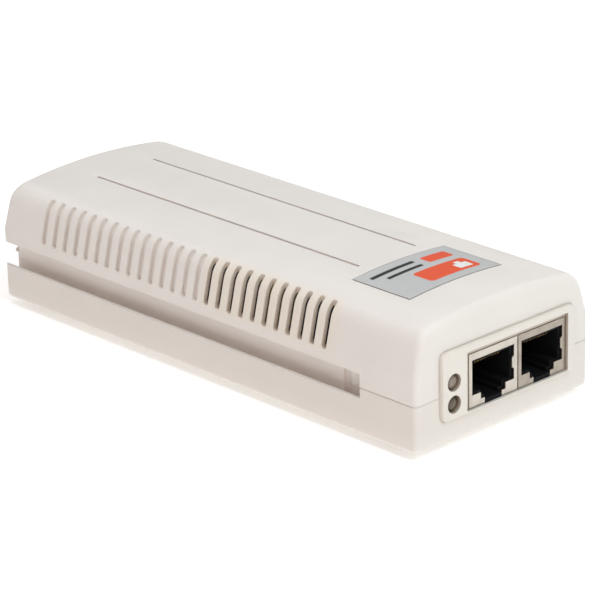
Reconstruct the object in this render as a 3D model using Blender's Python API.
"""PoE injector: a small two-piece plastic case with two RJ45 jacks at one end,
a mains inlet at the other, and the power supply board inside.

Run with:  blender --background --python part.py

Lengths are in millimetres and are turned into metres when each mesh is made.
-Y is the port end and +Z is up; seen from the port end, +X is to the right.
Heights are counted from the underside of the case, and Y from halfway between the two
ends of the case. The empty at the end lifts the case onto its rubber feet, so world
Z = 0 is the surface that the feet stand on, and puts world Y = 0 halfway between the
faceplate and the rear end.
"""

import math

import bmesh
import bpy

MM = 0.001

# ---------------------------------------------------------------- driving sizes

WIDTH = 53.8
LENGTH = 136.8
HEIGHT = 29.2                 # underside to the highest line of the crowned top
WALL = 2.0
SEAM_HEIGHT = 11.1
SEAM_GAP = 0.3
TONGUE_INSET = 1.1            # the base's tongue, from the outside of the wall inwards
TONGUE_HEIGHT = 1.2
CLEARANCE = 0.3               # between pieces that touch on the real object
CROWN_DROP = 2.5              # how much lower the top is at the sides than in the middle
CROWN_START = 14.0            # height where the sides begin to follow the crown
LEAN_START = 18.5             # height where the sides begin to lean in
LEAN = 0.213                  # how far they lean in per unit of height
SHOULDER_RADIUS = 4.2
SHOULDER_STEPS = 6
END_ROUNDING = 0.45           # shoulder rounding of the ends, as a share of the sides'
CORNER_RADIUS_LOW = 1.2
CORNER_RADIUS_TOP = 2.0
UNDERSIDE_RADIUS = 1.2
FOOT_HEIGHT = 1.5

HALF_WIDTH = WIDTH / 2
FRONT = -LENGTH / 2
REAR = LENGTH / 2

# Rail groove along each side, closed at the port end and open through the rear end
GROOVE_START = FRONT + 16.6
GROOVE_DEPTH = 3.4
GROOVE_LIP_TOP = 8.6
GROOVE_LIP_WIDTH = 0.7
GROOVE_FLOOR = 6.6
GROOVE_CEILING = 14.2
GROOVE_WALL = 1.4
LATCH_SLIT = (FRONT + 22.7, FRONT + 24.8)
REAR_STEP_LENGTH = 1.4
POCKET_DEPTH = 0.8

# Vent slots
VENT_PITCH = 3.77
VENT_FIRST = FRONT + 27.4
OPEN_VENTS = 11
BLIND_VENTS = 15
VENT_WIDTH = 1.5
VENT_BOTTOM = 17.0
VENT_REACH = 4.0              # how far over the shoulder a slot runs, from the side
VENT_WALL = 1.2               # thinner wall behind the open slots
BLIND_DEPTH = 0.8
OPEN_DEPTH = 2.6

# Fine grooves along the top
TOP_LINE_X = 8.76
TOP_LINE_WIDTH = 0.7
TOP_LINE_DEPTH = 0.35
TOP_LINE_SPAN = (FRONT + 34.8, FRONT + 122.8)

# Top label plate
LABEL_X = (-14.5, 13.5)
LABEL_SPAN = (FRONT + 13.6, FRONT + 30.7)
LABEL_THICKNESS = 0.4
LABEL_POCKET_DEPTH = 0.65

# Port faceplate and what shows in it
PLATE_X = (-19.6, 21.6)
PLATE_Z = (5.5, 21.1)
PLATE_STANDS_OUT = 1.0
PLATE_CORNER = 1.5
PLATE_FLANGE = 1.2
PLATE_SEAT = 0.8              # width and depth of the step that the plate's edge sits on
PLATE_OPENING_X = (-12.3, 19.4)
PLATE_OPENING_Z = (6.0, 19.6)
INDICATOR_X = -16.2
INDICATOR_HEIGHTS = (14.0, 9.0)
INDICATOR_HOLE_RADIUS = 2.0
INDICATOR_RADIUS = 1.7

# RJ45 jacks
JACK_CENTRES = (-3.65, 11.65)
JACK_WIDTH = 14.9
JACK_BOTTOM = 6.3
JACK_TOP = 18.6
JACK_FRONT = FRONT - 0.4
JACK_DEPTH = 17.5
SHEET = 0.4
PORT_HALF_WIDTH = 5.9
PORT_BOTTOM = 9.2
PORT_TOP = 16.2
PORT_DEPTH = 12.7
CONTACT_PITCH = 1.02
CONTACTS_PER_JACK = 8
CONTACT_WIDTH = 0.46
CONTACT_THICKNESS = 0.3

# Circuit board
BOARD_THICKNESS = 1.6
BOARD_TOP = JACK_BOTTOM
BOARD_HALF_WIDTH = 20.2
BOARD_Y = (-64.5, 43.6)
PART_BASE = BOARD_TOP + CLEARANCE

# Mains inlet
INLET_CENTRE_Z = 14.0
INLET_HALF_WIDTH = 13.5
INLET_HALF_HEIGHT = 9.9
INLET_DEPTH = 24.0
INLET_FLANGE = 1.4
SOCKET_HALF_WIDTH = 12.1
SOCKET_HALF_HEIGHT = 8.2
SOCKET_CHAMFER = 4.6
SOCKET_DEPTH = 17.0
INLET_PINS = {
    "inlet_pin_live": (-7.0, -2.0),
    "inlet_pin_neutral": (7.0, -2.0),
    "inlet_pin_earth": (0.0, 2.0),
}

# Case screws and feet, as (x, y); each is repeated at -x
SCREW_PLACES = ((17.5, -46.6), (18.0, 50.0))
FOOT_PLACES = ((17.5, -58.0), (17.5, 59.5))
BOSS_RADIUS = 2.9
COLLAR_RADIUS = 4.2
SCREW_HOLE_RADIUS = 1.75
SCREW_RADIUS = 1.4
SCREW_HEAD_RADIUS = 2.7
SCREW_HEAD_HEIGHT = 1.8
HEAD_HOLE_RADIUS = 3.1
HEAD_HOLE_DEPTH = 2.4
FOOT_RADIUS = 4.2
FOOT_RECESS_RADIUS = 4.5
FOOT_RECESS_DEPTH = 0.8

# Rating label under the case
RATING_HALF_SIZE = (15.0, 26.0)
RATING_THICKNESS = 0.2
RATING_RECESS_DEPTH = 0.5

# ---------------------------------------------------------------- materials

MATERIALS = {
    # name: (colour, roughness, metallic)
    "case_plastic": ((0.72, 0.68, 0.63), 0.55, 0.0),
    "base_plastic": ((0.70, 0.65, 0.60), 0.55, 0.0),
    "faceplate_plastic": ((0.78, 0.76, 0.73), 0.5, 0.0),
    "label_silver": ((0.55, 0.55, 0.53), 0.35, 0.3),
    "rating_paper": ((0.62, 0.62, 0.60), 0.5, 0.0),
    "shield_metal": ((0.62, 0.58, 0.52), 0.35, 1.0),
    "black_plastic": ((0.012, 0.012, 0.013), 0.4, 0.0),
    "gold_contact": ((0.80, 0.60, 0.25), 0.25, 1.0),
    "indicator_lens": ((0.17, 0.15, 0.11), 0.3, 0.0),
    "board_green": ((0.02, 0.16, 0.06), 0.45, 0.0),
    "pin_metal": ((0.70, 0.70, 0.72), 0.25, 1.0),
    "screw_steel": ((0.55, 0.55, 0.56), 0.3, 1.0),
    "foot_rubber": ((0.05, 0.05, 0.05), 0.9, 0.0),
    "fuse_body": ((0.45, 0.40, 0.32), 0.4, 0.0),
    "film_yellow": ((0.75, 0.55, 0.05), 0.4, 0.0),
    "choke_winding": ((0.55, 0.22, 0.06), 0.35, 0.6),
    "can_sleeve": ((0.02, 0.03, 0.10), 0.35, 0.0),
    "ferrite": ((0.06, 0.06, 0.065), 0.6, 0.0),
    "winding_tape": ((0.70, 0.60, 0.10), 0.4, 0.0),
    "heat_sink_alloy": ((0.60, 0.60, 0.61), 0.35, 1.0),
    "ceramic_blue": ((0.05, 0.16, 0.45), 0.4, 0.0),
}


def make_material(name):
    colour, roughness, metallic = MATERIALS[name]
    material = bpy.data.materials.new(name)
    material.use_nodes = True
    shader = material.node_tree.nodes["Principled BSDF"]
    shader.inputs["Base Color"].default_value = (*colour, 1.0)
    shader.inputs["Roughness"].default_value = roughness
    shader.inputs["Metallic"].default_value = metallic
    material.diffuse_color = (*colour, 1.0)
    return material


# ---------------------------------------------------------------- modelling helpers

AXIS_ORDER = {
    # axis: where (a, b, along) of an extruded outline go in (x, y, z)
    "X": lambda a, b, along: (along, a, b),
    "Y": lambda a, b, along: (a, along, b),
    "Z": lambda a, b, along: (a, b, along),
}


def add_prism(bm, outline, axis, low, high):
    """Add the outline, swept along the axis from low to high."""
    place = AXIS_ORDER[axis]
    ends = []
    for along in (low, high):
        ends.append([bm.verts.new([MM * c for c in place(a, b, along)]) for a, b in outline])
    start, finish = ends
    faces = [bm.faces.new(start), bm.faces.new(list(reversed(finish)))]
    count = len(outline)
    for i in range(count):
        j = (i + 1) % count
        faces.append(bm.faces.new((start[j], start[i], finish[i], finish[j])))
    bmesh.ops.recalc_face_normals(bm, faces=faces)


def add_block(bm, x, y, z):
    """Add a box, each argument being its (low, high) along that axis."""
    add_prism(bm, [(x[0], y[0]), (x[1], y[0]), (x[1], y[1]), (x[0], y[1])], "Z", *z)


def circle(centre_a, centre_b, radius, steps):
    turn = 2 * math.pi / steps
    return [
        (centre_a + radius * math.cos(i * turn), centre_b + radius * math.sin(i * turn))
        for i in range(steps)
    ]


def rounded_rectangle(a, b, radius, steps=4):
    """Outline of the rectangle a by b, each a (low, high), with round corners."""
    corners = (
        (a[1] - radius, b[1] - radius, 0.0),
        (a[0] + radius, b[1] - radius, 90.0),
        (a[0] + radius, b[0] + radius, 180.0),
        (a[1] - radius, b[0] + radius, 270.0),
    )
    points = []
    for centre_a, centre_b, start in corners:
        for i in range(steps + 1):
            angle = math.radians(start + 90.0 * i / steps)
            points.append((centre_a + radius * math.cos(angle), centre_b + radius * math.sin(angle)))
    return points


def grown(span, amount):
    return span[0] - amount, span[1] + amount


def around(middle, amount):
    return middle - amount, middle + amount


def edges_where(bm, test):
    """Edges whose two ends both pass the test, which is given millimetres."""
    return [e for e in bm.edges if all(test(*(c / MM for c in v.co)) for v in e.verts)]


def bevel_edges(bm, edges, width, segments):
    bmesh.ops.bevel(
        bm, geom=edges, offset=width * MM, segments=segments, profile=0.5, affect="EDGES"
    )


def make_object(name, bm, material=None):
    mesh = bpy.data.meshes.new(name)
    bm.to_mesh(mesh)
    bm.free()
    obj = bpy.data.objects.new(name, mesh)
    bpy.context.collection.objects.link(obj)
    if material:
        mesh.materials.append(make_material(material))
    return obj


def carve(obj, cutter_bm, operation="DIFFERENCE"):
    """Cut the cutter out of the object, or join it on, and drop the cutter."""
    cutter = make_object(obj.name + "_cutter", cutter_bm)
    modifier = obj.modifiers.new("carve", "BOOLEAN")
    modifier.operation = operation
    modifier.solver = "EXACT"
    modifier.object = cutter
    graph = bpy.context.evaluated_depsgraph_get()
    carved = bpy.data.meshes.new_from_object(obj.evaluated_get(graph))
    materials = list(obj.data.materials)
    obj.modifiers.clear()
    obj.data = carved
    carved.materials.clear()
    for material in materials:
        carved.materials.append(material)
    carved.polygons.foreach_set("material_index", [0] * len(carved.polygons))
    carved.name = obj.name
    bpy.data.objects.remove(cutter)


def shade(obj, angle=35.0):
    obj.data.shade_smooth()
    obj.data.set_sharp_from_angle(angle=math.radians(angle))


# ---------------------------------------------------------------- case shape

def crown_weight(height):
    """0 where the walls are plain, 1 from the shoulder up, where the crown is full."""
    shoulder = HEIGHT - SHOULDER_RADIUS
    return min(1.0, max(0.0, (height - CROWN_START) / (shoulder - CROWN_START)))


def crowned(x, height):
    return height - CROWN_DROP * (x / HALF_WIDTH) ** 2 * crown_weight(height)


def upper_rows(inset):
    """(height, side pull-in, end pull-in, plan corner radius) from the plain wall up."""
    tilt = math.atan(LEAN)
    centre = HEIGHT - SHOULDER_RADIUS
    radius = SHOULDER_RADIUS - inset
    lean_end = centre + SHOULDER_RADIUS * math.sin(tilt)
    leaned = LEAN * (lean_end - LEAN_START)
    rows = [
        (CROWN_START, 0.0, 0.0, CORNER_RADIUS_LOW),
        (LEAN_START - 0.6, 0.0, 0.0, CORNER_RADIUS_LOW),
        (LEAN_START + 0.6, LEAN * 0.6, 0.0, CORNER_RADIUS_LOW),
    ]
    for i in range(SHOULDER_STEPS + 1):
        angle = tilt + (math.pi / 2 - tilt) * i / SHOULDER_STEPS
        side = leaned + SHOULDER_RADIUS * math.cos(tilt) - radius * math.cos(angle) - inset
        end = END_ROUNDING * radius * (math.cos(tilt) - math.cos(angle))
        rows.append((centre + radius * math.sin(angle), side, end, CORNER_RADIUS_TOP))
    return rows


def lower_rows():
    """The same for the rounded underside edge, up to the plain wall."""
    rows = []
    for degrees in (0.0, 30.0, 60.0, 90.0):
        angle = math.radians(degrees)
        pull_in = UNDERSIDE_RADIUS * (1 - math.sin(angle))
        rows.append((UNDERSIDE_RADIUS * (1 - math.cos(angle)), pull_in, pull_in,
                     CORNER_RADIUS_LOW))
    return rows


def plan_ring(half_width, low_y, high_y, radius, corner_steps=4, cross_steps=8):
    """Plan outline, mirror-symmetric front to back, with points across both ends."""
    front = []
    for i in range(corner_steps + 1):
        angle = math.radians(180.0 + 90.0 * i / corner_steps)
        front.append((-half_width + radius + radius * math.cos(angle),
                      low_y + radius + radius * math.sin(angle)))
    span = 2 * (half_width - radius)
    for i in range(1, cross_steps):
        front.append((-half_width + radius + span * i / cross_steps, low_y))
    for i in range(corner_steps + 1):
        angle = math.radians(270.0 + 90.0 * i / corner_steps)
        front.append((half_width - radius + radius * math.cos(angle),
                      low_y + radius + radius * math.sin(angle)))
    rear = [(x, low_y + high_y - y) for x, y in reversed(front)]
    return front + rear


def case_solid(inset, rows):
    """Closed solid of the case shape, all its faces moved in by the inset."""
    bm = bmesh.new()
    rings = []
    for height, side, end, corner in rows:
        outline = plan_ring(HALF_WIDTH - inset - side, FRONT + inset + end, REAR - inset - end,
                            max(corner - inset, 0.4))
        rings.append([
            bm.verts.new((x * MM, y * MM, crowned(x, height) * MM)) for x, y in outline
        ])
    count = len(rings[0])
    for lower, upper in zip(rings, rings[1:]):
        for i in range(count):
            j = (i + 1) % count
            bm.faces.new((lower[i], lower[j], upper[j], upper[i]))
    for ring in (rings[0], rings[-1]):
        for i in range(count // 2 - 1):
            bm.faces.new((ring[i], ring[i + 1], ring[count - 2 - i], ring[count - 1 - i]))
    bmesh.ops.recalc_face_normals(bm, faces=bm.faces)
    return bm


def outer_case():
    return case_solid(0.0, lower_rows() + upper_rows(0.0))


def add_groove(bm, side):
    """The rail groove of one side: a channel behind a lip."""
    outside = HALF_WIDTH + 2
    back = HALF_WIDTH - GROOVE_DEPTH
    lip = HALF_WIDTH - GROOVE_LIP_WIDTH
    outline = [
        (outside, GROOVE_LIP_TOP),
        (lip, GROOVE_LIP_TOP),
        (lip, GROOVE_FLOOR),
        (back, GROOVE_FLOOR),
        (back, GROOVE_CEILING + 1),
        (outside, GROOVE_CEILING + 1),
    ]
    add_prism(bm, [(side * a, b) for a, b in outline], "Y", GROOVE_START, REAR + 2)


def add_groove_pockets(bm, side):
    """The latch slit in the groove's back wall and the step at its rear end."""
    back = HALF_WIDTH - GROOVE_DEPTH
    x = sorted((side * (back + 0.5), side * (back - POCKET_DEPTH)))
    for y in (LATCH_SLIT, (REAR - REAR_STEP_LENGTH, REAR + 2)):
        add_block(bm, x, y, (GROOVE_FLOOR, GROOVE_CEILING + 1))


def carve_end_openings(obj):
    """The faceplate's opening at the port end and the inlet's at the rear end."""
    seat = bmesh.new()
    add_prism(seat, rounded_rectangle(grown(PLATE_X, CLEARANCE), grown(PLATE_Z, CLEARANCE),
                                      PLATE_CORNER + CLEARANCE),
              "Y", FRONT - 2, FRONT + PLATE_SEAT)
    carve(obj, seat)
    through = CLEARANCE - PLATE_SEAT
    bm = bmesh.new()
    add_prism(bm, rounded_rectangle(grown(PLATE_X, through), grown(PLATE_Z, through),
                                    PLATE_CORNER + through),
              "Y", FRONT - 2, FRONT + WALL + 1)
    half_width = INLET_HALF_WIDTH + CLEARANCE
    half_height = INLET_HALF_HEIGHT + CLEARANCE
    add_block(bm, (-half_width, half_width), (REAR - WALL - 1, REAR + 2),
              (INLET_CENTRE_Z - half_height, INLET_CENTRE_Z + half_height))
    carve(obj, bm)


def seam_ring(outer_inset, low, high):
    """A ring inside the wall, from the inset to the wall's inner face."""
    rows = [(low, 0.0, 0.0, CORNER_RADIUS_LOW), (high, 0.0, 0.0, CORNER_RADIUS_LOW)]
    ring = make_object("seam_ring", case_solid(outer_inset, rows))
    rows = [(low - 1, 0.0, 0.0, CORNER_RADIUS_LOW), (high + 1, 0.0, 0.0, CORNER_RADIUS_LOW)]
    carve(ring, case_solid(WALL + 0.05, rows))
    bm = bmesh.new()
    bm.from_mesh(ring.data)
    bpy.data.objects.remove(ring)
    return bm


def add_lower_room(bm, low, high):
    """Inside of the case below the upper room: narrow beside the grooves, wide in front."""
    narrow = HALF_WIDTH - GROOVE_DEPTH - GROOVE_WALL
    wide = HALF_WIDTH - WALL
    front = FRONT + WALL
    step = GROOVE_START - GROOVE_WALL
    rear = REAR - WALL
    outline = [
        (-wide, front), (wide, front), (wide, step), (narrow, step),
        (narrow, rear), (-narrow, rear), (-narrow, step), (-wide, step),
    ]
    add_prism(bm, outline, "Z", low, high)


# ---------------------------------------------------------------- case halves

def place_pairs(places):
    """Each (x, y) on the right and again on the left."""
    return [(side * x, y) for x, y in places for side in (1, -1)]


def build_bottom_case():
    top = SEAM_HEIGHT - SEAM_GAP / 2
    obj = make_object("bottom_case", outer_case(), "base_plastic")
    above = bmesh.new()
    add_block(above, grown((-HALF_WIDTH, HALF_WIDTH), 3), grown((FRONT, REAR), 3),
              (top, HEIGHT + 3))
    carve(obj, above)
    room = bmesh.new()
    add_lower_room(room, WALL, top + 1)
    carve(obj, room)

    bosses = bmesh.new()
    for x, y in place_pairs(SCREW_PLACES):
        add_prism(bosses, circle(x, y, COLLAR_RADIUS, 20), "Z",
                  WALL - 0.5, BOARD_TOP - BOARD_THICKNESS - CLEARANCE)
    carve(obj, bosses, "UNION")
    posts = bmesh.new()
    for x, y in place_pairs(SCREW_PLACES):
        add_prism(posts, circle(x, y, BOSS_RADIUS, 20), "Z", WALL, top)
    carve(obj, posts, "UNION")

    walls = bmesh.new()
    back = HALF_WIDTH - GROOVE_DEPTH
    for side in (-1, 1):
        add_block(walls, sorted((side * (back - GROOVE_WALL), side * (back + 0.2))),
                  (GROOVE_START + CLEARANCE, REAR), (SEAM_HEIGHT - 2, GROOVE_CEILING - CLEARANCE))
    carve(obj, walls, "UNION")

    carve(obj, seam_ring(TONGUE_INSET, top - 0.5, SEAM_HEIGHT + TONGUE_HEIGHT), "UNION")

    channels = bmesh.new()
    pockets = bmesh.new()
    for side in (-1, 1):
        add_groove(channels, side)
        add_groove_pockets(pockets, side)
    carve(obj, channels)
    carve(obj, pockets)
    carve_end_openings(obj)

    holes = bmesh.new()
    for x, y in place_pairs(SCREW_PLACES):
        add_prism(holes, circle(x, y, HEAD_HOLE_RADIUS, 20), "Z", -1, HEAD_HOLE_DEPTH)
    for x, y in place_pairs(FOOT_PLACES):
        add_prism(holes, circle(x, y, FOOT_RECESS_RADIUS, 24), "Z", -1, FOOT_RECESS_DEPTH)
    half_x, half_y = RATING_HALF_SIZE
    add_prism(holes, rounded_rectangle((-half_x, half_x), (-half_y, half_y), 1.5), "Z",
              -1, RATING_RECESS_DEPTH)
    carve(obj, holes)
    bores = bmesh.new()
    for x, y in place_pairs(SCREW_PLACES):
        add_prism(bores, circle(x, y, SCREW_HOLE_RADIUS, 16), "Z", 1, top + 1)
    carve(obj, bores)
    shade(obj, 30.0)
    return obj


def vent_floor(depth):
    """(x, height) along the wall moved in by the depth, from the shoulder's end down."""
    reach = HALF_WIDTH - VENT_REACH
    points = []
    for height, side, _, _ in upper_rows(depth):
        x = HALF_WIDTH - depth - side
        if x > reach + 0.05 and crowned(x, height) > VENT_BOTTOM + 0.3:
            points.append((x, crowned(x, height)))
    points.insert(0, (HALF_WIDTH - depth, VENT_BOTTOM))
    points.append((reach, crowned(reach, HEIGHT - depth)))
    return points


def add_vent(bm, side, y, depth):
    """One slot cutter with softened ends."""
    reach = HALF_WIDTH - VENT_REACH
    outline = [(side * x, z) for x, z in vent_floor(depth)]
    outline += [(side * reach, HEIGHT + 2), (side * (HALF_WIDTH + 2), HEIGHT + 2),
                (side * (HALF_WIDTH + 2), VENT_BOTTOM)]
    slot = bmesh.new()
    add_prism(slot, outline, "Y", y - VENT_WIDTH / 2, y + VENT_WIDTH / 2)
    ends = edges_where(slot, lambda px, py, pz: abs(pz - VENT_BOTTOM) < 0.01)
    ends += edges_where(slot, lambda px, py, pz: abs(abs(px) - reach) < 0.01)
    ends = [e for e in ends if abs(e.verts[0].co.y - e.verts[1].co.y) < 1e-6]
    bevel_edges(slot, ends, 0.5, 2)
    mesh = bpy.data.meshes.new("slot")
    slot.to_mesh(mesh)
    slot.free()
    bm.from_mesh(mesh)
    bpy.data.meshes.remove(mesh)


def add_crowned_sheet(bm, across, along, top_offset, bottom_offset, steps=8):
    """A sheet that follows the crowned top, between two offsets from its surface."""
    xs = [across[0] + (across[1] - across[0]) * i / steps for i in range(steps + 1)]
    surface = [(x, crowned(x, HEIGHT)) for x in xs]
    outline = [(x, z + bottom_offset) for x, z in surface]
    outline += [(x, z + top_offset) for x, z in reversed(surface)]
    add_prism(bm, outline, "Y", *along)


def vent_room():
    """The room behind the open slots, where the wall is thinner."""
    rows = [(VENT_BOTTOM - 0.5, 0.0, 0.0, CORNER_RADIUS_LOW)] + upper_rows(VENT_WALL)[1:]
    room = make_object("vent_room", case_solid(VENT_WALL, rows))
    last = VENT_FIRST + (OPEN_VENTS - 1) * VENT_PITCH
    reach = HALF_WIDTH - VENT_REACH - 2
    zone = bmesh.new()
    for side in (-1, 1):
        add_block(zone, sorted((side * reach, side * (HALF_WIDTH + 1))),
                  (VENT_FIRST - 1.6, last + 1.6), (0, HEIGHT))
    carve(room, zone, "INTERSECT")
    bm = bmesh.new()
    bm.from_mesh(room.data)
    bpy.data.objects.remove(room)
    return bm


def build_top_cover():
    bottom = SEAM_HEIGHT + SEAM_GAP / 2
    obj = make_object("top_cover", outer_case(), "case_plastic")
    below = bmesh.new()
    add_block(below, grown((-HALF_WIDTH, HALF_WIDTH), 3), grown((FRONT, REAR), 3), (-3, bottom))
    carve(obj, below)

    room_floor = GROOVE_CEILING + 1.5
    floor_row = (room_floor, 0.0, 0.0, CORNER_RADIUS_LOW)
    carve(obj, case_solid(WALL, [floor_row] + upper_rows(WALL)[1:]))
    room = bmesh.new()
    add_lower_room(room, bottom - 1, room_floor + 0.5)
    carve(obj, room)
    carve(obj, vent_room())

    posts = bmesh.new()
    for x, y in place_pairs(SCREW_PLACES):
        add_prism(posts, circle(x, y, BOSS_RADIUS, 20), "Z", bottom, HEIGHT - CROWN_DROP - 0.2)
    carve(obj, posts, "UNION")
    bores = bmesh.new()
    for x, y in place_pairs(SCREW_PLACES):
        add_prism(bores, circle(x, y, SCREW_HOLE_RADIUS, 16), "Z", bottom - 1, bottom + 9)
    carve(obj, bores)

    carve(obj, seam_ring(TONGUE_INSET - CLEARANCE, bottom - 0.5,
                         SEAM_HEIGHT + TONGUE_HEIGHT + CLEARANCE))

    beside = bmesh.new()
    inner = HALF_WIDTH - GROOVE_DEPTH - GROOVE_WALL - CLEARANCE
    for side in (-1, 1):
        add_block(beside, sorted((side * inner, side * (HALF_WIDTH + 2))),
                  (GROOVE_START, REAR + 2), (0, GROOVE_CEILING))
    carve(obj, beside)
    carve_end_openings(obj)

    slots = bmesh.new()
    for side in (-1, 1):
        for i in range(OPEN_VENTS + BLIND_VENTS):
            depth = OPEN_DEPTH if i < OPEN_VENTS else BLIND_DEPTH
            add_vent(slots, side, VENT_FIRST + i * VENT_PITCH, depth)
    carve(obj, slots)

    details = bmesh.new()
    add_crowned_sheet(details, grown(LABEL_X, CLEARANCE), grown(LABEL_SPAN, CLEARANCE),
                      2.0, -LABEL_POCKET_DEPTH)
    for x in (-TOP_LINE_X, TOP_LINE_X):
        add_block(details, around(x, TOP_LINE_WIDTH / 2), TOP_LINE_SPAN,
                  (crowned(x, HEIGHT) - TOP_LINE_DEPTH, HEIGHT + 2))
    carve(obj, details)
    shade(obj, 30.0)
    return obj


def build_top_label():
    bm = bmesh.new()
    top = LABEL_THICKNESS + CLEARANCE - LABEL_POCKET_DEPTH
    add_crowned_sheet(bm, LABEL_X, LABEL_SPAN, top, top - LABEL_THICKNESS)
    return make_object("top_label_plate", bm, "label_silver")


def build_rating_label():
    bm = bmesh.new()
    half_x, half_y = (size - CLEARANCE for size in RATING_HALF_SIZE)
    bottom = RATING_RECESS_DEPTH - CLEARANCE - RATING_THICKNESS
    add_prism(bm, rounded_rectangle((-half_x, half_x), (-half_y, half_y), 1.2), "Z",
              bottom, bottom + RATING_THICKNESS)
    return make_object("rating_label", bm, "rating_paper")


# ---------------------------------------------------------------- fasteners and feet

def build_screws():
    screws = []
    tip = SEAM_HEIGHT + 8.0
    for number, (x, y) in enumerate(place_pairs(SCREW_PLACES), 1):
        head_low = HEAD_HOLE_DEPTH - CLEARANCE - SCREW_HEAD_HEIGHT
        head_high = HEAD_HOLE_DEPTH - CLEARANCE
        bm = bmesh.new()
        profile = [(SCREW_HEAD_RADIUS, head_low), (SCREW_HEAD_RADIUS, head_high),
                   (SCREW_RADIUS, head_high), (SCREW_RADIUS, tip - 1.5), (0.5, tip)]
        add_turned(bm, x, y, profile, 16)
        obj = make_object(f"case_screw_{number}", bm, "screw_steel")
        shade(obj)
        screws.append(obj)
    return screws


def add_turned(bm, x, y, profile, steps):
    """A solid of revolution about the vertical line at (x, y), profile as (radius, z)."""
    rings = []
    for radius, z in profile:
        rings.append([bm.verts.new((a * MM, b * MM, z * MM)) for a, b in circle(x, y, radius, steps)])
    for lower, upper in zip(rings, rings[1:]):
        for i in range(steps):
            j = (i + 1) % steps
            bm.faces.new((lower[i], lower[j], upper[j], upper[i]))
    bm.faces.new(list(reversed(rings[0])))
    bm.faces.new(rings[-1])
    bmesh.ops.recalc_face_normals(bm, faces=bm.faces)


def build_feet():
    feet = []
    for number, (x, y) in enumerate(place_pairs(FOOT_PLACES), 1):
        bm = bmesh.new()
        profile = [(FOOT_RADIUS - 0.5, -FOOT_HEIGHT), (FOOT_RADIUS, 0.5 - FOOT_HEIGHT),
                   (FOOT_RADIUS, FOOT_RECESS_DEPTH - CLEARANCE)]
        add_turned(bm, x, y, profile, 24)
        obj = make_object(f"rubber_foot_{number}", bm, "foot_rubber")
        shade(obj)
        feet.append(obj)
    return feet


# ---------------------------------------------------------------- port end

def build_faceplate():
    outer_y = FRONT - PLATE_STANDS_OUT
    flange_y = FRONT + WALL + CLEARANCE
    bm = bmesh.new()
    seat_y = FRONT + PLATE_SEAT - CLEARANCE
    add_prism(bm, rounded_rectangle(PLATE_X, PLATE_Z, PLATE_CORNER), "Y", outer_y, seat_y)
    rim = edges_where(bm, lambda x, y, z: abs(y - outer_y) < 0.01)
    bevel_edges(bm, rim, 0.25, 2)
    obj = make_object("port_faceplate", bm, "faceplate_plastic")
    body = bmesh.new()
    add_prism(body, rounded_rectangle(grown(PLATE_X, -PLATE_SEAT), grown(PLATE_Z, -PLATE_SEAT),
                                      PLATE_CORNER - PLATE_SEAT),
              "Y", seat_y - 0.3, flange_y + 1.0)
    carve(obj, body, "UNION")
    flange = bmesh.new()
    add_prism(flange, rounded_rectangle(grown(PLATE_X, PLATE_FLANGE), grown(PLATE_Z, PLATE_FLANGE),
                                        PLATE_CORNER),
              "Y", flange_y, flange_y + 1.0)
    carve(obj, flange, "UNION")
    openings = bmesh.new()
    add_prism(openings, rounded_rectangle(PLATE_OPENING_X, PLATE_OPENING_Z, 0.4, 2), "Y",
              outer_y - 1, flange_y + 2)
    for z in INDICATOR_HEIGHTS:
        add_prism(openings, circle(INDICATOR_X, z, INDICATOR_HOLE_RADIUS, 24), "Y",
                  outer_y - 1, flange_y + 2)
    carve(obj, openings)
    shade(obj, 30.0)
    return obj


def add_turned_y(bm, x, z, profile, steps):
    """A solid of revolution about the line along Y at (x, z), profile as (radius, y)."""
    rings = []
    for radius, y in profile:
        rings.append([bm.verts.new((a * MM, y * MM, b * MM)) for a, b in circle(x, z, radius, steps)])
    for lower, upper in zip(rings, rings[1:]):
        for i in range(steps):
            j = (i + 1) % steps
            bm.faces.new((lower[i], lower[j], upper[j], upper[i]))
    bm.faces.new(list(reversed(rings[0])))
    bm.faces.new(rings[-1])
    bmesh.ops.recalc_face_normals(bm, faces=bm.faces)


def build_indicators():
    names = ("indicator_upper", "indicator_lower")
    tip = FRONT - PLATE_STANDS_OUT + 0.35
    lights = []
    for name, z in zip(names, INDICATOR_HEIGHTS):
        bm = bmesh.new()
        profile = [(0.5, tip), (INDICATOR_RADIUS * 0.7, tip + 0.15),
                   (INDICATOR_RADIUS, tip + 0.6), (INDICATOR_RADIUS, FRONT + 9.0)]
        add_turned_y(bm, INDICATOR_X, z, profile, 20)
        obj = make_object(name, bm, "indicator_lens")
        shade(obj)
        lights.append(obj)
    return lights


def shield_window(centre):
    """Front window of a jack's shield: the plug opening and its stepped latch notch."""
    half = 6.5
    bump = 0.6
    return [(centre + a, b) for a, b in (
        (-half, 17.0), (-half, 9.0), (-3.85, 9.0), (-3.85, 7.5), (-2.65, 7.5),
        (-2.65, JACK_BOTTOM - 1.0), (2.65, JACK_BOTTOM - 1.0), (2.65, 7.5), (3.85, 7.5),
        (3.85, 9.0), (half, 9.0), (half, 11.3), (half - bump, 11.8), (half - bump, 13.9),
        (half, 14.4), (half, 17.0),
    )]


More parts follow.
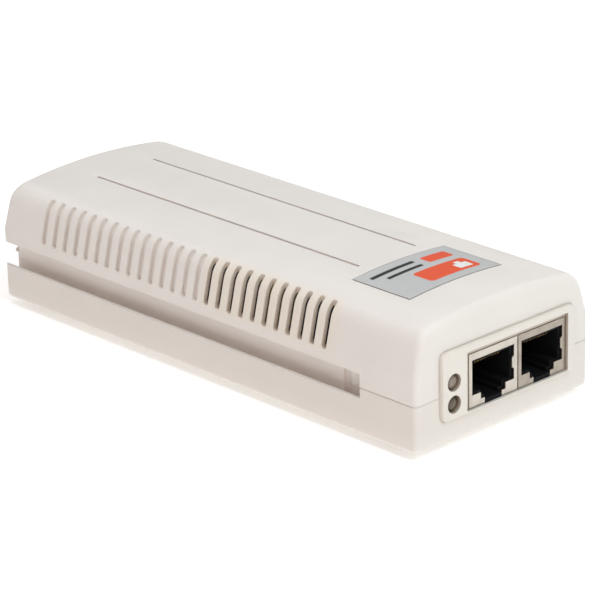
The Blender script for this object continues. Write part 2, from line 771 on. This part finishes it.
def build_jack(number, centre):
    name = f"jack_{number}"
    half = JACK_WIDTH / 2
    back = JACK_FRONT + JACK_DEPTH

    bm = bmesh.new()
    add_block(bm, (centre - half, centre + half), (JACK_FRONT, back), (JACK_BOTTOM, JACK_TOP))
    shield = make_object(f"{name}_shield", bm, "shield_metal")
    inside = bmesh.new()
    add_block(inside, (centre - half + SHEET, centre + half - SHEET),
              (JACK_FRONT + SHEET, back - SHEET), (JACK_BOTTOM - 1, JACK_TOP - SHEET))
    carve(shield, inside)
    window = bmesh.new()
    add_prism(window, shield_window(centre), "Y", JACK_FRONT - 1, JACK_FRONT + SHEET + 0.2)
    carve(shield, window)

    inner_half = half - SHEET - CLEARANCE
    face = JACK_FRONT + SHEET + CLEARANCE
    bm = bmesh.new()
    add_block(bm, (centre - inner_half, centre + inner_half),
              (face, back - SHEET - CLEARANCE), (JACK_BOTTOM + CLEARANCE, JACK_TOP - SHEET - CLEARANCE))
    insert = make_object(f"{name}_insert", bm, "black_plastic")
    port = bmesh.new()
    outline = [(centre + a, b) for a, b in (
        (-PORT_HALF_WIDTH, PORT_TOP), (-PORT_HALF_WIDTH, PORT_BOTTOM), (-3.4, PORT_BOTTOM),
        (-3.4, 8.0), (-2.3, 8.0), (-2.3, 7.1), (2.3, 7.1), (2.3, 8.0), (3.4, 8.0),
        (3.4, PORT_BOTTOM), (PORT_HALF_WIDTH, PORT_BOTTOM), (PORT_HALF_WIDTH, PORT_TOP),
    )]
    add_prism(port, outline, "Y", face - 1, face + PORT_DEPTH)
    carve(insert, port)

    contacts = []
    for i in range(CONTACTS_PER_JACK):
        x = centre + CONTACT_PITCH * (i - (CONTACTS_PER_JACK - 1) / 2)
        contacts.append(build_contact(f"{name}_contact_{i + 1}", x, face))
    return [shield, insert] + contacts


def build_contact(name, x, face):
    """A spring wire: back along the roof of the port, round a tight bend, down to the rear."""
    roof = PORT_TOP - 0.25
    bend = face + 1.6
    rear = face + PORT_DEPTH - CLEARANCE
    drop_y = face + 9.4
    drop_z = PORT_BOTTOM + 4.4
    t = CONTACT_THICKNESS
    outline = [
        (rear, roof), (bend, roof), (bend - 0.5, roof - 0.45), (bend - 0.15, roof - 0.95),
        (drop_y, drop_z), (drop_y + 0.1, drop_z + t), (bend + 0.15, roof - 0.95 + t + 0.05),
        (bend + 0.05, roof - 0.45), (bend + 0.25, roof - t), (rear, roof - t),
    ]
    bm = bmesh.new()
    add_prism(bm, outline, "X", x - CONTACT_WIDTH / 2, x + CONTACT_WIDTH / 2)
    return make_object(name, bm, "gold_contact")


# ---------------------------------------------------------------- rear end

def build_inlet():
    front_y = REAR
    back_y = REAR - INLET_DEPTH
    bm = bmesh.new()
    add_block(bm, (-INLET_HALF_WIDTH, INLET_HALF_WIDTH), (back_y, front_y),
              (INLET_CENTRE_Z - INLET_HALF_HEIGHT, INLET_CENTRE_Z + INLET_HALF_HEIGHT))
    housing = make_object("inlet_housing", bm, "black_plastic")
    flange_y = REAR - WALL - CLEARANCE
    flange = bmesh.new()
    half_width = INLET_HALF_WIDTH + INLET_FLANGE
    half_height = INLET_HALF_HEIGHT + INLET_FLANGE
    add_block(flange, (-half_width, half_width), (flange_y - 1.5, flange_y),
              (INLET_CENTRE_Z - half_height, INLET_CENTRE_Z + half_height))
    carve(housing, flange, "UNION")

    socket = bmesh.new()
    low = INLET_CENTRE_Z - SOCKET_HALF_HEIGHT
    high = INLET_CENTRE_Z + SOCKET_HALF_HEIGHT
    edge = SOCKET_HALF_WIDTH
    outline = [(-edge, low), (edge, low), (edge, high - SOCKET_CHAMFER),
               (edge - SOCKET_CHAMFER, high), (SOCKET_CHAMFER - edge, high),
               (-edge, high - SOCKET_CHAMFER)]
    add_prism(socket, outline, "Y", front_y - SOCKET_DEPTH, front_y + 1)
    for x, z in INLET_PINS.values():
        add_block(socket, around(x, 1.0 + CLEARANCE), (back_y - 1, front_y - SOCKET_DEPTH - 0.01),
                  around(INLET_CENTRE_Z + z, 2.0 + CLEARANCE))
    carve(housing, socket)

    holes = bmesh.new()
    for x, z in INLET_PINS.values():
        add_block(holes, around(x, 1.0 + CLEARANCE),
                  (front_y - SOCKET_DEPTH - 0.5, front_y - SOCKET_DEPTH + 0.5),
                  around(INLET_CENTRE_Z + z, 2.0 + CLEARANCE))
    carve(housing, holes)

    pieces = [housing]
    for name, (x, z) in INLET_PINS.items():
        pin = bmesh.new()
        tip_y = front_y - 3.0
        add_block(pin, around(x, 1.0), (back_y - 2.5, tip_y),
                  around(INLET_CENTRE_Z + z, 2.0))
        tip = edges_where(pin, lambda px, py, pz: abs(py - tip_y) < 0.01)
        bevel_edges(pin, tip, 0.6, 2)
        obj = make_object(name, pin, "pin_metal")
        shade(obj)
        pieces.append(obj)
    return pieces


# ---------------------------------------------------------------- circuit board

def build_board():
    bm = bmesh.new()
    add_block(bm, (-BOARD_HALF_WIDTH, BOARD_HALF_WIDTH), BOARD_Y,
              (BOARD_TOP - BOARD_THICKNESS, BOARD_TOP))
    obj = make_object("main_board", bm, "board_green")
    holes = bmesh.new()
    for x, y in place_pairs(SCREW_PLACES[:1]):
        add_prism(holes, circle(x, y, BOSS_RADIUS + 0.4, 20), "Z", 0, BOARD_TOP + 1)
    carve(obj, holes)
    return obj


def build_box_part(name, material, x, y, size, chamfer=0.0):
    """A component with a box body standing on the board, its size being (x, y, height)."""
    width, length, height = size
    bm = bmesh.new()
    add_block(bm, around(x, width / 2), around(y, length / 2),
              (PART_BASE, PART_BASE + height))
    if chamfer:
        top = edges_where(bm, lambda px, py, pz: abs(pz - PART_BASE - height) < 0.01)
        bevel_edges(bm, top, chamfer, 1)
    return make_object(name, bm, material)


def build_can(name, x, y, radius, height):
    """An upright electrolytic capacitor with its crimped neck."""
    base = PART_BASE
    profile = [(radius, base), (radius, base + 1.0), (radius - 0.4, base + 1.6),
               (radius, base + 2.2), (radius, base + height - 0.5), (radius - 0.6, base + height)]
    bm = bmesh.new()
    add_turned(bm, x, y, profile, 20)
    obj = make_object(name, bm, "can_sleeve")
    shade(obj)
    return obj


def build_bulk_capacitor():
    """The mains capacitor, lying along the board."""
    radius = 8.0
    low, high = 13.0, 38.0
    bm = bmesh.new()
    profile = [(radius - 0.6, low), (radius, low + 0.6), (radius, high - 2.6),
               (radius - 0.5, high - 1.9), (radius, high - 1.2), (radius, high)]
    add_turned_y(bm, -10.0, PART_BASE + radius, profile, 24)
    obj = make_object("bulk_capacitor", bm, "can_sleeve")
    shade(obj)
    return obj


def build_transformer():
    """Ferrite core of two E halves as one frame, with the taped winding in its windows."""
    x, y = -5.0, -4.0
    core_x = around(x, 12.5)
    core_y = around(y, 3.6)
    bm = bmesh.new()
    add_block(bm, core_x, core_y, (PART_BASE, PART_BASE + 18.0))
    core = make_object("transformer_core", bm, "ferrite")
    windows = bmesh.new()
    for side in (-1, 1):
        window = sorted((x + side * 3.6, x + side * 9.3))
        add_block(windows, window, grown(core_y, 1), (PART_BASE + 3.0, PART_BASE + 15.0))
    carve(core, windows)

    winding = bmesh.new()
    add_prism(winding, rounded_rectangle(around(x, 9.0), around(y, 9.0), 2.5), "Z",
              PART_BASE + 3.3, PART_BASE + 14.7)
    coil = make_object("transformer_winding", winding, "winding_tape")
    limb = bmesh.new()
    add_block(limb, around(x, 3.9), grown(core_y, CLEARANCE), (PART_BASE, PART_BASE + 18.0))
    carve(coil, limb)
    shade(coil)
    return [core, coil]


def add_ring(bm, x, y, z, outer, inner, height, steps):
    """An upright-axis ring with square section."""
    rings = []
    for radius, level in ((outer, z), (outer, z + height), (inner, z + height), (inner, z)):
        rings.append([bm.verts.new((a * MM, b * MM, level * MM)) for a, b in circle(x, y, radius, steps)])
    for lower, upper in zip(rings, rings[1:] + rings[:1]):
        for i in range(steps):
            j = (i + 1) % steps
            bm.faces.new((lower[i], lower[j], upper[j], upper[i]))
    bmesh.ops.recalc_face_normals(bm, faces=bm.faces)


def build_ring_part(name, x, y, outer, inner, height):
    bm = bmesh.new()
    add_ring(bm, x, y, PART_BASE, outer, inner, height, 20)
    obj = make_object(name, bm, "choke_winding")
    shade(obj)
    return obj


def build_heat_sink():
    """A finned plate beside the switching transistor."""
    plate_x = 17.4
    low, high = 3.0, 31.0
    bm = bmesh.new()
    outline = [(low, plate_x)]
    fins = 6
    pitch = (high - low) / fins
    for i in range(fins):
        start = low + i * pitch
        outline += [(start, plate_x + 2.6), (start + 1.4, plate_x + 2.6),
                    (start + 1.4, plate_x + 1.2), (start + pitch, plate_x + 1.2)]
    outline += [(high, plate_x)]
    outline = [(b, a) for a, b in outline]
    add_prism(bm, outline, "Z", PART_BASE, PART_BASE + 15.0)
    return make_object("heat_sink", bm, "heat_sink_alloy")


def build_fuse():
    bm = bmesh.new()
    radius = 2.6
    profile = [(radius, 14.2), (radius, 33.6)]
    add_turned_y(bm, 11.5, PART_BASE + radius, profile, 16)
    obj = make_object("fuse", bm, "fuse_body")
    shade(obj)
    return obj


def build_components():
    return [
        build_box_part("ethernet_transformer", "black_plastic", 4.0, -40.5, (17.0, 15.0, 6.0), 0.6),
        build_box_part("poe_controller_chip", "black_plastic", -10.0, -40.0, (7.6, 10.3, 2.4), 0.3),
        build_can("output_capacitor_1", -12.5, -25.0, 5.0, 16.0),
        build_can("output_capacitor_2", -1.0, -25.0, 5.0, 16.0),
        build_ring_part("output_choke", 11.5, -24.5, 6.5, 2.6, 7.0),
        build_box_part("output_rectifier", "black_plastic", 17.2, -12.0, (4.6, 10.2, 15.5), 0.5),
        build_box_part("optocoupler", "black_plastic", 11.8, 0.5, (6.5, 4.6, 3.5), 0.3),
        build_box_part("y_capacitor", "ceramic_blue", 11.6, -7.5, (4.0, 8.0, 8.5), 1.0),
        build_box_part("switching_transistor", "black_plastic", 14.6, 8.5, (4.5, 10.2, 15.0), 0.5),
        build_heat_sink(),
        build_bulk_capacitor(),
        build_fuse(),
        build_ring_part("common_mode_choke", 3.4, 28.0, 5.0, 2.0, 9.0),
        build_box_part("bridge_rectifier", "black_plastic", 3.2, 14.5, (4.0, 14.0, 11.0), 0.5),
        build_box_part("x_capacitor", "film_yellow", 8.5, 37.2, (18.0, 6.0, 12.0), 0.4),
    ] + build_transformer()


# ---------------------------------------------------------------- assembly

def clear_scene():
    for obj in list(bpy.data.objects):
        bpy.data.objects.remove(obj)


def main():
    clear_scene()
    pieces = [
        build_bottom_case(),
        build_top_cover(),
        build_top_label(),
        build_rating_label(),
        build_faceplate(),
        build_board(),
    ]
    pieces += build_screws()
    pieces += build_feet()
    pieces += build_indicators()
    for number, centre in enumerate(JACK_CENTRES, 1):
        pieces += build_jack(number, centre)
    pieces += build_inlet()
    pieces += build_components()

    stand = bpy.data.objects.new("case_underside", None)
    stand.location.y = PLATE_STANDS_OUT / 2 * MM
    stand.location.z = FOOT_HEIGHT * MM
    bpy.context.collection.objects.link(stand)
    for piece in pieces:
        piece.parent = stand


main()
